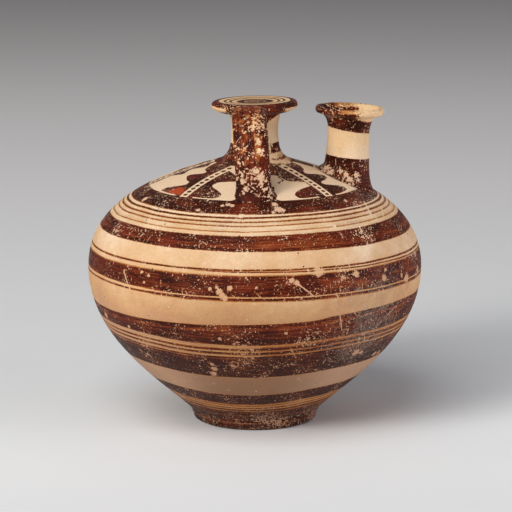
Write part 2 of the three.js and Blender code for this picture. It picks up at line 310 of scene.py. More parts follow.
# Disc: it closes the neck, a little dished, with a rounded rim.
disc = thrown(
    "top_disc",
    [
        ((0, DISC_UNDERSIDE - 4), None, None),
        ((5.6, DISC_UNDERSIDE - 4), None, None),
        ((5.8, DISC_UNDERSIDE + 0.2), None, None),
        ((12.6, DISC_UNDERSIDE + 0.1), None, (15.6, DISC_UNDERSIDE + 0.3)),
        ((18.4, DISC_TOP - 4.5), (16.9, DISC_UNDERSIDE + 0.9), (19.9, DISC_TOP - 4.4)),
        (
            (DISC_RADIUS, DISC_TOP - 2.5),
            (DISC_RADIUS, DISC_TOP - 3.6),
            (DISC_RADIUS, DISC_TOP - 1.2),
        ),
        ((18.2, DISC_TOP - 0.45), (19.5, DISC_TOP - 0.45), (15, DISC_TOP - 0.5)),
        ((9, DISC_TOP - 0.9), (12, DISC_TOP - 0.75), (5, DISC_TOP - 1.0)),
        ((0, DISC_TOP - 1.0), (2, DISC_TOP - 1.0), None),
    ],
    12,
    128,
)
pivot = Vector((0, 0, DISC_UNDERSIDE)) * MM
disc_tilt = Matrix.Rotation(DISC_TILT, 4, "Y")
settle_place(disc, Matrix.Translation(pivot) @ disc_tilt @ Matrix.Translation(-pivot))

# Spout: thrown alone, with a rolled lip, a funnel mouth and a root that flares over the shoulder.
spout = thrown(
    "spout",
    [
        ((SPOUT_BORE, -SPOUT_TENON_LENGTH), None, None),
        ((SPOUT_TENON_RADIUS, -SPOUT_TENON_LENGTH), None, None),
        ((SPOUT_TENON_RADIUS, -2.5), None, None),
        ((15.2, -1.6), None, (14.6, -0.4)),
        ((13.6, 0.5), (14.2, 0.1), (12.2, 1.5)),
        ((10.9, 6.0), (11.2, 3.6), (10.6, 9.5)),
        ((10.0, 18.5), (10.2, 14.5), (9.8, 21.5)),
        ((11.1, 27.4), (10.1, 25.2), (11.9, 29.3)),
        ((14.6, 30.2), (13.2, 29.9), (15.9, 30.4)),
        ((16.5, 32.0), (16.5, 31.0), (16.5, 33.2)),
        ((15.0, SPOUT_LENGTH), (16.0, SPOUT_LENGTH), (13.9, SPOUT_LENGTH)),
        ((12.9, 32.6), (13.3, 33.6), (11.6, 31.4)),
        ((SPOUT_BORE, 20.4), (SPOUT_BORE + 0.1, 27), None),
    ],
    10,
    112,
    closed=True,
)
dried(spout, 0.3, 12, 1.7)
settle_place(spout, spout_place)
seated(spout, spout_root, spout_axis)


def strap_line(name, over):
    """Middle line of a strap, from inside the disc, over its rim, down to the shoulder. Over is the
    height of the line above the disc's underside where it leaves the rim."""
    root_height = shoulder_height(STRAP_ROOT)
    rim = (DISC_RADIUS, DISC_UNDERSIDE + over)
    run, fall = STRAP_ROOT - rim[0], root_height - rim[1]
    places = [(NECK_RADIUS + 0.3, rim[1] - 1.6), rim]
    for out, down in ((0.42, 0.045), (0.8, 0.24), (0.985, 0.6)):
        places.append((rim[0] + out * run, rim[1] + down * fall))
    places += [(STRAP_ROOT, root_height), (STRAP_ROOT, root_height - STRAP_THICKNESS)]
    line = drawn_line(name, [(place, None, None) for place in places], 32, upright=False)
    for knot in line.data.splines[0].bezier_points:
        knot.handle_left_type = knot.handle_right_type = "AUTO"
    line.data.twist_mode = "MINIMUM"
    return line


def pulled_strap(name, side, shift, over):
    """A strap pulled straight, spread at its head and foot, bent along its line and seated."""
    line = strap_line(name + "_line", over)
    length = line.data.splines[0].calc_length() / MM
    # The section is a rounded oblong, 1 mm wide and thick. Each station stretches it.
    start_afresh()
    bpy.ops.mesh.primitive_circle_add(vertices=40, radius=0.5 * MM, fill_type="NGON")
    strap = bpy.context.object
    strap.name = name
    for vertex in strap.data.vertices:
        for axis in (0, 1):
            part = vertex.co[axis] / (0.5 * MM)
            vertex.co[axis] = math.copysign(abs(part) ** 0.8, part) * 0.5 * MM
    wide = thick = 1.0
    bpy.ops.object.mode_set(mode="EDIT")
    bpy.ops.mesh.select_all(action="SELECT")
    for station in range(STRAP_STATIONS + 1):
        share = station / STRAP_STATIONS
        head = max(0, 1 - share / STRAP_HEAD_SHARE) ** 2
        above = length - STRAP_THICKNESS - share * length
        foot = max(0, 1 - max(0, above) / STRAP_FOOT_HEIGHT) ** 2.2
        new_wide = STRAP_WIDTH + (STRAP_HEAD_WIDTH - STRAP_WIDTH) * head + STRAP_FOOT_SPREAD * foot
        new_thick = STRAP_THICKNESS + (STRAP_HEAD_THICKNESS - STRAP_THICKNESS) * head
        new_thick += STRAP_FOOT_SWELL * foot
        height = share * length * MM
        if station:
            step = (0, 0, length / STRAP_STATIONS * MM)
            bpy.ops.mesh.extrude_region_move(TRANSFORM_OT_translate={"value": step})
        size = (new_wide / wide, new_thick / thick, 1)
        bpy.ops.transform.resize(value=size, center_override=(0, 0, height))
        wide, thick = new_wide, new_thick
    bpy.ops.mesh.select_all(action="SELECT")
    bpy.ops.mesh.normals_make_consistent(inside=False)
    bpy.ops.object.mode_set(mode="OBJECT")
    bend = strap.modifiers.new("bend", "CURVE")
    bend.object = line
    bend.deform_axis = "POS_Z"
    bpy.ops.object.modifier_apply(modifier=bend.name)
    bpy.data.objects.remove(line)
    root_height = shoulder_height(STRAP_ROOT)
    for vertex in strap.data.vertices:
        fall = (DISC_TOP * MM - vertex.co.z) / ((DISC_TOP - root_height) * MM)
        vertex.co.x += shift * max(0, 1 - fall) * MM
    seated(strap, Vector((0, -STRAP_ROOT, root_height)), Vector((0, 0, 1)))
    if side > 0:
        settle_place(strap, Matrix.Rotation(math.pi, 4, "Z"))
    take(strap)
    smooth = strap.modifiers.new("smoothing", "SUBSURF")
    smooth.levels = smooth.render_levels = 1
    bpy.ops.object.modifier_apply(modifier=smooth.name)
    bpy.ops.object.shade_smooth()
    dried(strap, 0.5, 7, 0.9 + side)
    return strap


front_strap = pulled_strap("handle_front", -1, FRONT_STRAP_SHIFT, 2.8)
back_strap = pulled_strap("handle_back", 1, 0, 1.2)


def linear(colour):
    """An sRGB hex colour as linear red, green and blue, with alpha."""
    shares = [int(colour[i : i + 2], 16) / 255 for i in (1, 3, 5)]
    light = [s / 12.92 if s <= 0.04045 else ((s + 0.055) / 1.055) ** 2.4 for s in shares]
    return (*light, 1)


class Value:
    """One output of a node. It stands in sums as a number does, and each sum adds a node."""

    def __init__(self, tree, socket):
        self.tree = tree
        self.socket = socket
        self.node = socket.node

    def __add__(self, other):
        return maths("ADD", self, other)

    def __sub__(self, other):
        return maths("SUBTRACT", self, other)

    def __rsub__(self, other):
        return maths("SUBTRACT", other, self)

    def __mul__(self, other):
        return maths("MULTIPLY", self, other)

    def __truediv__(self, other):
        return maths("DIVIDE", self, other)

    def __gt__(self, other):
        return maths("GREATER_THAN", self, other)

    def __lt__(self, other):
        return maths("LESS_THAN", self, other)

    def __abs__(self):
        return maths("ABSOLUTE", self)


def add(kind, inputs=(), out=None, tree=None, **settings):
    """Adds a node with its settings, sets or links its inputs, and returns one output. The node
    goes beside those that feed it, unless a tree is given."""
    parts = inputs if isinstance(inputs, dict) else dict(enumerate(inputs))
    if tree is None:
        tree = next(part.tree for part in parts.values() if isinstance(part, Value))
    node = tree.nodes.new("ShaderNode" + kind)
    for name, setting in settings.items():
        setattr(node, name, setting)
    in_use = {socket.name: socket for socket in reversed(node.inputs) if socket.enabled}
    for which, part in parts.items():
        socket = node.inputs[which] if isinstance(which, int) else in_use[which]
        if isinstance(part, Value):
            tree.links.new(part.socket, socket)
        else:
            socket.default_value = part
    given = [socket for socket in node.outputs if socket.enabled and out in (None, socket.name)]
    return Value(tree, given[0]) if given else None


def blank_tree(block):
    """The nodes of a new material or world, cleared."""
    block.use_nodes = True
    block.node_tree.nodes.clear()
    return block.node_tree


def maths(operation, *parts):
    """A sum of numbers."""
    return add("Math", parts, operation=operation)


def vectors(operation, *parts):
    """A sum of places or colours."""
    return add("VectorMath", parts, operation=operation)


def scaled(vector, amount):
    """A place or colour times a number."""
    return add("VectorMath", {0: vector, "Scale": amount}, operation="SCALE")


def distance(first, second):
    """How far two places are apart."""
    return vectors("DISTANCE", first, second)


def larger(first, *others):
    """The largest of some numbers."""
    for other in others:
        first = maths("MAXIMUM", first, other)
    return first


def smaller(first, *others):
    """The smallest of some numbers."""
    for other in others:
        first = maths("MINIMUM", first, other)
    return first


def clamped(value):
    """A number kept between 0 and 1."""
    return add("Clamp", [value])


def blend(share, first, second):
    """Two numbers mixed by a share from 0 to 1."""
    return add("Mix", {"Factor": share, "A": first, "B": second})


def mixed(share, first, second):
    """Two colours mixed by a share from 0 to 1."""
    first, second = (linear(c) if isinstance(c, str) else c for c in (first, second))
    return add("Mix", {"Factor": share, "A": first, "B": second}, data_type="RGBA")


def noise(place, scale, detail, roughness=0.5, w=None):
    """Cloudy noise from 0 to 1. Scale is the number of clouds to a millimetre."""
    inputs = {"Vector": place, "Scale": scale, "Detail": detail, "Roughness": roughness}
    if w is None:
        return add("TexNoise", inputs)
    return add("TexNoise", {**inputs, "W": w}, noise_dimensions="4D")


def soft_step(value, low, high):
    """0 below low, 1 above high, smooth between. Low may be the larger one."""
    inputs = {"Value": value, "From Min": low, "From Max": high}
    return add("MapRange", inputs, interpolation_type="SMOOTHSTEP")


def share_of(value, first, last):
    """Where a measure stands between a first and a last one, from 0 to 1."""
    return add("MapRange", {"Value": value, "From Min": first, "From Max": last})


def laid(value, stops):
    """Slip thickness or colour over a measure, straight between (measure, thickness) stops."""
    first, last = stops[0][0], stops[-1][0]
    colour = add("ValToRGB", {"Fac": share_of(value, first, last)})
    ramp = colour.node.color_ramp
    while len(ramp.elements) < len(stops):
        ramp.elements.new(1)
    for element, (at, shade) in zip(ramp.elements, stops):
        element.position = (at - first) / (last - first)
        element.color = linear(shade) if isinstance(shade, str) else (shade, shade, shade, 1)
    return colour


def curved(value, points, low, high):
    """A smooth curve over a measure through (measure, height) points, none below low or above
    high."""
    first, last = points[0][0], points[-1][0]
    path = add("FloatCurve", {"Value": share_of(value, first, last)})
    curve = path.node.mapping.curves[0]
    while len(curve.points) < len(points):
        curve.points.new(1, 1)
    for knot, (at, height) in zip(curve.points, points):
        knot.location = ((at - first) / (last - first), (height - low) / (high - low))
    path.node.mapping.update()
    return path * (high - low) + low


def brush(place, grain):
    """What every painted piece shares: places in millimetres and the noises of hand and brush.
    Grain is the number of flaked specks to a millimetre."""
    x, y, z = (add("SeparateXYZ", [place], out=axis) for axis in "XYZ")
    flat = vectors("MULTIPLY", place, (1, 1, 0))
    return SimpleNamespace(
        place=place,
        x=x,
        y=y,
        z=z,
        flat=flat,
        radius=vectors("LENGTH", flat),
        azimuth=maths("ARCTAN2", x, y * -1) * (180 / math.pi),
        wear=0,
        slow=noise(place, 0.045, 1),
        edge=noise(place, 0.9, 3, 0.6),
        speck=noise(place, grain, 2, 0.6),
        chip=noise(place, grain / 2, 3, 0.6),
        crowd=noise(place, 0.09, 3, 0.6),
    )


def strokes(hand, run, across, along):
    """Brush streaks, 0 to 1. Run is the distance across them, in millimetres. Across and along are
    the number of streaks to a millimetre."""
    return noise(scaled(hand.place, along), 1, 3, 0.6, run * across)


def up_the_side(hand):
    """The distance up the body's curved side, which keeps streaks level and even in width."""
    rise = hand.z - BELLY_HEIGHT
    return maths("SIGN", rise) * (BELLY_RADIUS - hand.radius) + rise


def unsteady(hand, value, slow_by, edge_by):
    """A measure with the hand's slow wander and the slip's rough edge added, in millimetres."""
    return (hand.edge - 0.5) * edge_by + ((hand.slow - 0.5) * slow_by + value)


# Slip round the body, from the foot up, as (height, thickness of slip). A thin edge fires golden.
FOOT_BANDS = [
    (0, 0.9), (1.8, 1), (2.8, 1), (3.2, 0.5), (3.8, 0.5), (4.4, 0.9), (5.4, 0.9), (5.7, 0.6),
    (6.2, 1), (7.6, 1), (8.2, 0.5), (8.7, 0.5), (9.2, 1), (9.8, 0.9), (10.1, 0.4), (10.5, 0.9),
    (10.9, 0.9), (11.3, 0.3), (11.8, 0.3), (12.1, 0.8), (12.5, 0.8), (12.8, 0.15), (13.2, 0.15),
    (13.6, 0.8), (14, 0.25), (14.8, 0.12), (15.1, 0.6), (15.5, 0.2), (16.3, 0.3), (16.7, 1),
    (22.4, 0.9), (23, 0),
]
CLAY_BELT = [(23, 0), (33.5, 0), (33.8, 0.1), (34.1, 0.7), (34.6, 1), (41, 1)]
LOWER_LINES = [
    (40, 1), (42.5, 1), (43.1, 0.65), (43.6, 0.8), (44, 1), (44.4, 0.7), (44.8, 0.35), (45.2, 0.9),
    (45.7, 0.7), (46.1, 0.12), (46.6, 0.08), (47, 0.4), (47.4, 0.6), (47.9, 0.9), (48.3, 0.15),
    (48.8, 0.1), (49.2, 0.4), (49.6, 0.9), (50, 0.7), (50.4, 0.25), (50.9, 0.2), (51.3, 0.06),
    (51.8, 0.08), (52.2, 0.55), (52.6, 0.95), (53.6, 0.85), (54.2, 1), (55, 0.95), (55.5, 0.6),
    (56.4, 0.95), (57, 0.85),
]
BELLY_TOP = [
    (57, 0.8), (57.7, 0.7), (58.4, 0.95), (59, 0.85), (59.7, 0.55), (60.4, 0.6), (61.1, 0.85),
    (61.8, 1), (62.3, 0.95), (62.6, 0.3), (62.8, 0.06), (63, 0), (69, 0),
]
BELLY_FRONT = [
    (69, 0), (72.8, 0), (73.1, 0.06), (73.5, 0.25), (73.9, 0.7), (74.3, 0.95), (74.75, 0.85),
    (74.95, 0.4), (75.05, 0.05), (75.35, 0.03), (75.5, 0.3), (75.75, 0.95), (76.6, 1), (77.6, 0.8),
    (80, 0.85),
]
BELLY_LEFT = [
    (69, 0), (73.4, 0), (73.7, 0.1), (74, 0.7), (74.3, 0.8), (74.6, 0.3), (74.8, 0), (75.6, 0),
    (75.8, 0.15), (76.1, 0.75), (76.6, 0.9), (80, 0.85),
]
BELLY_LINES = [
    (80, 0.85), (83.6, 0.85), (84.2, 0.9), (84.5, 0.7), (84.75, 0.3), (85.05, 0.14), (85.4, 0.03),
    (85.6, 0), (86.4, 0), (86.75, 0.1), (86.95, 0.7), (87.2, 0.95), (87.4, 0.6), (87.65, 0.1),
    (88, 0), (94.5, 0), (94.75, 0.08), (94.95, 0.6), (95.3, 1), (96, 0.95), (96.5, 0.72),
    (98, 0.72),
]
RIM_LINES = [
    (98, 0.9), (99.6, 0.95), (100.3, 1), (100.75, 1), (100.95, 0.5), (101.15, 0.06), (102.2, 0.05),
    (102.45, 0.1), (102.6, 0.32), (102.75, 0.28), (102.95, 0.08), (104.3, 0.05), (104.55, 0.15),
    (104.7, 0.55), (104.85, 0.4), (105.05, 0.08), (105.8, 0.06), (106, 0.15), (106.15, 0.7),
    (106.35, 0.6), (106.55, 0.12), (107.2, 0.01), (107.55, 0.2), (107.7, 1), (107.95, 0.95),
    (108.15, 0.12), (108.4, 0), (108.9, 0.02), (109.15, 0.6), (109.5, 1), (112, 1),
]

# How far the bands stray upwards, as (degrees from the front, millimetres)
LOWER_STRAY = [
    (-180, 1.5), (-120, 2.2), (-60, 1.9), (-42, 1.4), (-30, 0.6), (-18, 0.1), (-5, 0), (6, 0.35),
    (13, 0.7), (24, 1.4), (35, 2.2), (50, 2.5), (66, 2.6), (120, 2.2), (180, 1.5),
]
BELLY_STRAY = [
    (-180, 0), (-120, -1), (-60, -1.5), (-30, -1.15), (-18, -0.7), (0, 0), (12, 0.5), (19, 0.8),
    (26, 2), (36, 2.8), (48, 3.3), (66, 3.5), (110, 2.2), (180, 0),
]
RESERVED_STRAY = [
    (-180, 0.2), (-120, 0.6), (-60, 0.8), (-45, 0.5), (-30, 0.2), (-5, 0), (13, -0.1), (60, -0.2),
    (120, 0), (180, 0.2),
]
MIDDLE_STRAY = [
    (-180, 0), (-60, 0.25), (-30, 0.15), (-5, 0), (13, -0.1), (35, -0.3), (60, -0.45), (180, 0),
]
RIM_STRAY = [
    (-180, 0.1), (-60, 0), (-5, 0), (13, 0.3), (35, 0.5), (60, 0.55), (110, 0.3), (180, 0.1),
]
# Extra thin slip between the lower lines, where the brush was wiped
WIPED = [
    (-180, 0), (-60, -0.2), (-30, -0.1), (-5, 0.04), (13, 0.18), (35, 0.14), (60, 0.06), (120, 0),
    (180, 0),
]

# Leaf edges beside a stem: (distance along the stem, reach from it)
LEFT_STEM_OUTSIDE = [
    (15, 7), (19.7, 9.8), (25, 9), (28.8, 5.6), (30.2, 8.5), (31.8, 13.6), (34, 12.6), (37, 9.6),
    (39.8, 6.6), (42, 9.5), (45.4, 17.8), (48, 12.5), (50, 7), (55, 4),
]
LEFT_STEM_INSIDE = [
    (15, 1.9), (21.5, 2.2), (24, 5), (26, 10), (29.3, 15.5), (33, 12), (36.6, 7.8), (38.4, 7.6),
    (41, 13), (43.9, 17.2), (47.5, 14), (51, 6), (55, 4),
]
RIGHT_STEM_OUTSIDE = [
    (15, 6), (20.5, 10.4), (25, 9.3), (29.6, 5.9), (31, 9), (33, 15.2), (37, 12), (40.1, 6.3),
    (42, 10), (44.8, 17), (49.2, 9.5), (55, 6),
]
RIGHT_STEM_INSIDE = [
    (15, 3), (20, 8.5), (23.5, 12.5), (26.5, 10), (29, 9.6), (32, 9.4), (35, 6), (37.6, 1.8),
    (40.4, 1), (41.2, 9), (44.5, 15.4), (47, 13.5), (50.5, 5), (55, 3),
]
SIDE_STEM = [
    (15, 4), (20.2, 4.6), (22.7, 8.3), (26, 7.4), (30.2, 5.6), (33.9, 9), (37.5, 6), (41, 3.6),
    (45.2, 4.6), (50, 3.6), (55, 3),
]

# Each stem as (degrees, offset from the jar's axis, bend and shift of its strip, both leaf edges)
STEMS = [
    (229, 0, 0.0045, 0, LEFT_STEM_INSIDE, LEFT_STEM_OUTSIDE),
    (315, -2.05, 0, 0.65, RIGHT_STEM_INSIDE, RIGHT_STEM_OUTSIDE),
    (180, 0, 0, 0, SIDE_STEM, SIDE_STEM),
]
# Limits of the curves above, and the radius at which the leaves end
MOST_STRAY = 5
WIDEST_LEAF = 20
LEAVES_END = 49.6
# Slip round a strap's foot: half its width and depth, and how far it stands off the axis
STRAP_MARK = (9.6, 6.6)
STRAP_MARK_SHIFT = 0.6

# Slip low on the neck, and how it is worn on the spout's side: (height, thickness)
NECK_FOOT = [(120, 0.95), (133.8, 0.95), (134.1, 0), (160, 0)]
WORN_NECK_FOOT = [
    (120, 0.9), (125.6, 0.9), (126, 0.1), (126.9, 0.06), (127.1, 0.7), (127.7, 0.7), (127.9, 0.12),
    (129.8, 0.05), (130.1, 1), (134, 1), (134.3, 0), (160, 0),
]
# The disc's rings, as (radius, thickness), and its edge, as (height, thickness)
DISC_RINGS = [
    (0, 1), (1.2, 1), (1.5, 0.1), (2, 0.1), (2.3, 1), (4.2, 1), (4.5, 0.15), (5, 0.1), (5.3, 1),
    (8.4, 1), (8.7, 0.1), (10.8, 0), (11.1, 0.9), (11.9, 0.9), (12.2, 0.05), (13.4, 0),
    (13.7, 0.85), (14.3, 0.9), (14.6, 0.05), (16.8, 0), (17.2, 1), (21, 1),
]
DISC_EDGE = [(140, 0.9), (149.2, 1), (149.5, 0.1), (151.5, 0.05), (151.8, 1), (160, 1)]
# Rings round the spout's root, as (radius, thickness): dark, a reserved line, a thin dark line and
# a reserved line
SPOUT_RINGS = [(13.2, 0.95), (13.5, 0), (14.3, 0), (14.5, 0.9), (14.9, 0.9), (15.1, 0), (16, 0)]

# Tones of the bare clay from the foot up, as (share of 150 mm, tone), darker near the foot
# partly as painted shade under the belly, and of the slip by thickness
CLAY_TONES_WITH_SHADE = [
    (0.08, "#AB8A70"), (0.24, "#B89074"), (0.42, "#CC9A70"), (0.5, "#D7A97A"), (0.6, "#E2BA91"),
    (0.7, "#F0D2B0"), (0.83, "#F0D1AE"), (0.93, "#ECC799"),
]
SLIP_TONES = [
    (0.04, "#D0A266"), (0.2, "#BA7E44"), (0.36, "#9A5024"), (0.55, "#7D3417"), (0.75, "#581C09"),
    (1.0, "#310E04"),
]


def stem_of_leaves(hand, mirrored, angle, offset, bend, shift, inside, outside):
    """One stem of the shoulder's pattern: a reserved strip with a row of drops, and leaves
    on both of its sides."""
    turn = math.radians(angle)
    x, y = math.cos(turn), math.sin(turn)
    sideways = (-y, x, 0) if angle < 270 else (y, -x, 0)
    along = vectors("DOT_PRODUCT", mirrored, (x, y, 0))
    across = vectors("DOT_PRODUCT", mirrored, sideways) + offset
    reach = abs(across)
    edges = (curved(along, edge, 0, WIDEST_LEAF) for edge in (outside, inside))
    gap = blend(across > 0, *edges) - reach
    leaves = soft_step(unsteady(hand, gap, 0.6, 0.8), -0.15, 0.15)
    # A reserved line parts the leaves from the band, except close to the stem.
    parted = soft_step(unsteady(hand, hand.radius, 0.8, 0.6), LEAVES_END, LEAVES_END - 0.4)
    leaves = leaves * larger(parted, soft_step(reach, 5.4, 5))
    # The strip bends towards the strap near the neck.
    inner = 50 - along
    centred = across - inner * inner * bend + shift
    strip = unsteady(hand, abs(centred), 0.5, 0.4)
    begun = soft_step(along, 18, 18.6)
    outline = soft_step(strip, 3.1, 2.8) * begun * soft_step(along, 25, 27)
    reserved = soft_step(strip, 2.45, 2.2) * begun
    # The drops stand 3.9 mm apart by the neck and 2.4 mm apart at the rim.
    run = along - 20
    count = run * (run * 0.00267 + 0.2564)
    cell = maths("FRACT", count) - 0.5
    drop = vectors("MULTIPLY", add("CombineXYZ", [cell, centred]), (3, 0.95, 0))
    drops = soft_step(unsteady(hand, vectors("LENGTH", drop), 0.5, 0.8), 1.08, 0.92)
    painted = larger(leaves, outline) * (1 - reserved)
    return larger(painted, drops * (run > 0.8) * reserved)


def shoulder_pattern(hand):
    """Leaves on five stems, the dark ring round the neck, the feet of the straps and the spout."""
    back = abs(hand.y)
    mirrored = add("CombineXYZ", [hand.x, back * -1])
    stems = [stem_of_leaves(hand, mirrored, *stem) for stem in STEMS]
    # Dark slip round the false neck, and round each strap's foot
    ring = soft_step(unsteady(hand, hand.radius, 1.5, 1.2), 18.4, 17.9)
    foot = vectors("ADD", mirrored, (-STRAP_MARK_SHIFT, STRAP_ROOT, 0))
    foot = vectors("LENGTH", vectors("MULTIPLY", foot, (1 / STRAP_MARK[0], 1 / STRAP_MARK[1], 0)))
    foot = soft_step(unsteady(hand, foot, 0.15, 0.2), 1.02, 0.95)
    # A fillet of slip, 4 mm in radius, joins each side of that foot to the band.
    corner = add("CombineXYZ", [12.4 - abs(hand.x - STRAP_MARK_SHIFT), hand.radius - 46.3])
    corner = vectors("LENGTH", vectors("MAXIMUM", corner, (0, 0, 0)))
    corner = soft_step(unsteady(hand, corner, 0.4, 0.5), 3.9, 4.1) * soft_step(back, 38, 39)
    # A run of slip that trickled down beside the front strap
    trickle = abs(hand.x - (maths("SINE", hand.y * 1.15) + 12.1))
    trickle = soft_step(unsteady(hand, trickle, 0, 0.9), 0.5, 0.3)
    trickle = trickle * soft_step(hand.y, -28, -28.6) * soft_step(hand.y, -35.4, -34.8)
    painted = larger(*stems, ring, foot, corner, trickle)
    from_spout = unsteady(hand, distance(hand.flat, (SPOUT_OFFSET, 0, 0)), 0.6, 0.4)
    return blend(soft_step(from_spout, 16, 15.9), painted, laid(from_spout, SPOUT_RINGS))


def body_paint(hand):
    """Slip thickness on the body: bands and lines below, the leaf pattern on the shoulder."""
    around = hand.azimuth
    height = unsteady(hand, hand.z, 0.5, 0.5)

    def strayed(points):
        """How far the hand strayed upwards, or how much more slip it laid, round the jar."""
        return curved(around, points, -MOST_STRAY, MOST_STRAY)

    def bands(knots, stray, ease=1):
        """Bands that stray with the hand, less where it eased off."""
        return laid(height - strayed(stray) * ease, knots)

    foot = bands(FOOT_BANDS, LOWER_STRAY, soft_step(hand.z, 8, 17))
    belt = bands(CLAY_BELT, LOWER_STRAY)
    lines = bands(LOWER_LINES, LOWER_STRAY)
    wiped = clamped(lines + strayed(WIPED))
    level = height - strayed(LOWER_STRAY)
    among_lines = soft_step(level, 44.1, 44.6) * soft_step(level, 52.5, 52.1)
    lines = blend(among_lines, lines, wiped)
    belly_top = bands(BELLY_TOP, BELLY_STRAY)
    sides = (bands(knots, RESERVED_STRAY) for knots in (BELLY_FRONT, BELLY_LEFT))
    belly = blend(soft_step(around, -18, -48), *sides)
    middle = bands(BELLY_LINES, MIDDLE_STRAY, soft_step(hand.z, 89, 93))
    # The second line above the belly starts at the front and falls a little towards the right.
    second = soft_step(abs(around * 0.0115 + height - 86.4), 0.42, 0.1) * 0.75
    second = second * soft_step(around, -26, -8) * soft_step(around, 150, 110)
    middle = larger(middle, second)
    # The band under the shoulder's lines was brushed thin in front.
    thin = soft_step(around, -24, -4) * soft_step(around, 48, 26) * -0.2 + 1
    middle = blend(hand.z > 92, middle, middle * thin)
    rim = bands(RIM_LINES, RIM_STRAY, soft_step(hand.z, 109.4, 108.6))
    rim = blend(hand.z < 101, rim, rim * thin)
    zones = (28, belt), (41, lines), (57.5, belly_top), (69, belly), (80, middle), (98, rim)
    coat = foot
    for bottom, zone in zones:
        coat = blend(hand.z > bottom, coat, zone)
    # More is worn under the spout and by the foot, and little of the shoulder's thin lines.
    by_spout = distance(hand.place, on_body(66, 109))
    wear = soft_step(by_spout, 22, 6) * 0.04 + soft_step(hand.z, 16, 3) * 0.05
    hand.wear = wear - soft_step(abs(hand.z - 105), 4.4, 3.6) * 0.06
    # A few thin red strokes, 1.1 mm apart in height, cross the band under the front strap.
    by_strap = distance(hand.place, on_body(-3, 111))
    red = soft_step(maths("SINE", height * (2 * math.pi / 1.1)), -0.3, 0.5)
    coat = coat * (1 - red * soft_step(by_strap, 6, 3.5) * 0.45)
    inward = soft_step(unsteady(hand, hand.radius, 0.5, 0.5), 50.5, 50.2) * (hand.z > 100)
    return blend(inward, coat, shoulder_pattern(hand)), up_the_side(hand)


def neck_paint(hand):
    """Bare neck with a dark foot that is worn to bits on the spout's side, and slip under the
    disc."""
    height = unsteady(hand, hand.z, 2, 1.6)
    bits = soft_step(unsteady(hand, hand.crowd, 0, 0.6), 0.62, 0.55)
    by_spout = soft_step(unsteady(hand, hand.x, 8, 3), 2, 6)
    coat = blend(by_spout, laid(height, NECK_FOOT), laid(height, WORN_NECK_FOOT) * bits)
    # Slip under the disc runs down beside each strap in a web.
    web = soft_step(height - abs(hand.x) * 0.6, 140.6, 141.2)
    return larger(coat, web), hand.z


def disc_paint(hand):
    """Rings on the disc, a reserved strip under its rim and a dark line under that."""
    top = laid(unsteady(hand, hand.radius, 1, 0.7), DISC_RINGS)
    edge = laid(unsteady(hand, hand.z, 1.2, 0.8), DISC_EDGE)
    # The reserved strip is painted over between the two straps' edges.
    edge = larger(edge, soft_step(unsteady(hand, abs(hand.x), 3, 6), 14.5, 12.5))
    return blend(soft_step(hand.z, 152.9, 153.1), edge, top), hand.radius + hand.z


def spout_paint(hand):
    """Dark root, bare stem, a dark band under the lip, and a lip that is worn on its outer side."""
    aside = hand.x - SPOUT_OFFSET
    root = soft_step(unsteady(hand, aside * 0.12 + hand.z, 1, 0.9), 127.6, 127.3)
    under_lip = unsteady(hand, aside * 0.18 + hand.z, 1, 0.9)
    coat = larger(root, soft_step(under_lip, 140.3, 140.6))
    # The lip is bare on the right, and worn to a thin golden coat in the middle.
    ragged = unsteady(hand, aside - 1.4, 6, 14)
    outer = soft_step(under_lip, 145.6, 146.6) * soft_step(ragged, 1, 5)
    upper = soft_step(unsteady(hand, hand.z, 0, 3), 148.2, 149.4) * soft_step(ragged, -8, -4)
    worn = larger(outer, upper)
    golden = worn * soft_step(ragged, 5, -1) * 0.2
    # Dots of slip are left along the mouth's edge.
    dots = soft_step(hand.edge, 0.58, 0.64) * worn * soft_step(hand.z, 149.6, 150.2)
    left = larger(golden + (1 - worn * 0.98), dots)
    hand.wear = soft_step(hand.z, 127, 120) * 0.02
    return coat * left, hand.z


def strap_paint(hand):
    """Dark straps, worn thin and rusty in the upper half, most in a golden streak right of the
    middle. The lighter upper half and the dark right edge are partly painted light from the upper
    left."""
    # The streak leans with the front strap.
    aside = unsteady(hand, (hand.z - 115) * (-FRONT_STRAP_SHIFT / 39) + hand.x, 3, 2.5)
    upper = soft_step(unsteady(hand, hand.z, 14, 4), 122, 132)
    streak = upper * soft_step(aside, 1, 2.4) * soft_step(aside, 6, 5)
    # Partly painted light: the upper half is thinned and lighter, except the right edge, which stays
    # dark as a shaded side.
    thin = upper * soft_step(aside, 6.4, 5.2)
    # Thick and thin blotches 3 mm wide, where the strap was handled while wet
    blotch = noise(hand.place, 0.32, 3)
    hand.wear = streak * 0.02
    return blotch * 2.2 + 0.02 - thin * 0.34 - streak * 0.32, hand.x


